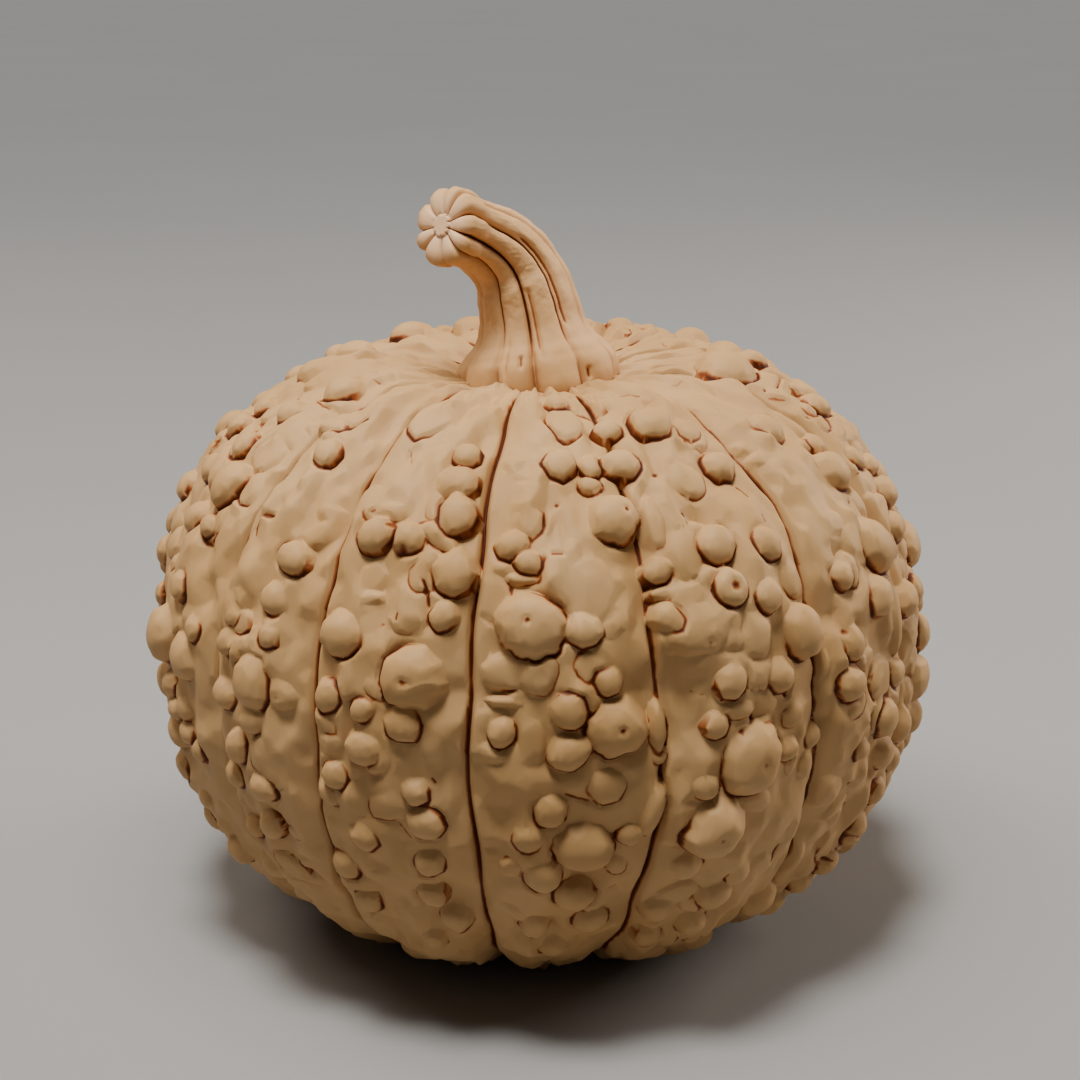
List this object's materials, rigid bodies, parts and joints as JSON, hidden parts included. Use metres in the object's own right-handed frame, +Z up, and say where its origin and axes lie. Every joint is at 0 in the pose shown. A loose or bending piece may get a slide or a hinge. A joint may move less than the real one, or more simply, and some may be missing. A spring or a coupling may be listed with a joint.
{
  "type": "warty pumpkin",
  "caption": "Round ribbed pumpkin covered in warts, with a ridged stem that bends to one side, resting on a small flat spot.",
  "frame": {"origin": "middle of the flat spot that the pumpkin rests on", "axes": "+Z up from the flat spot through the stem, -Y towards the front seen in the picture, +X to the right in the picture; the cut end of the stem points to -X, a little to -Y and up"},
  "size_m": [0.2406, 0.2424, 0.2275],
  "materials": {
    "rind": "matte, pale tan with dark brown creases",
    "stem": "matte, tan with dark brown grooves along its ridges"
  },
  "bodies": {
    "root": {"fruit": "rind", "stem": "stem"}
  },
  "joints": []
}
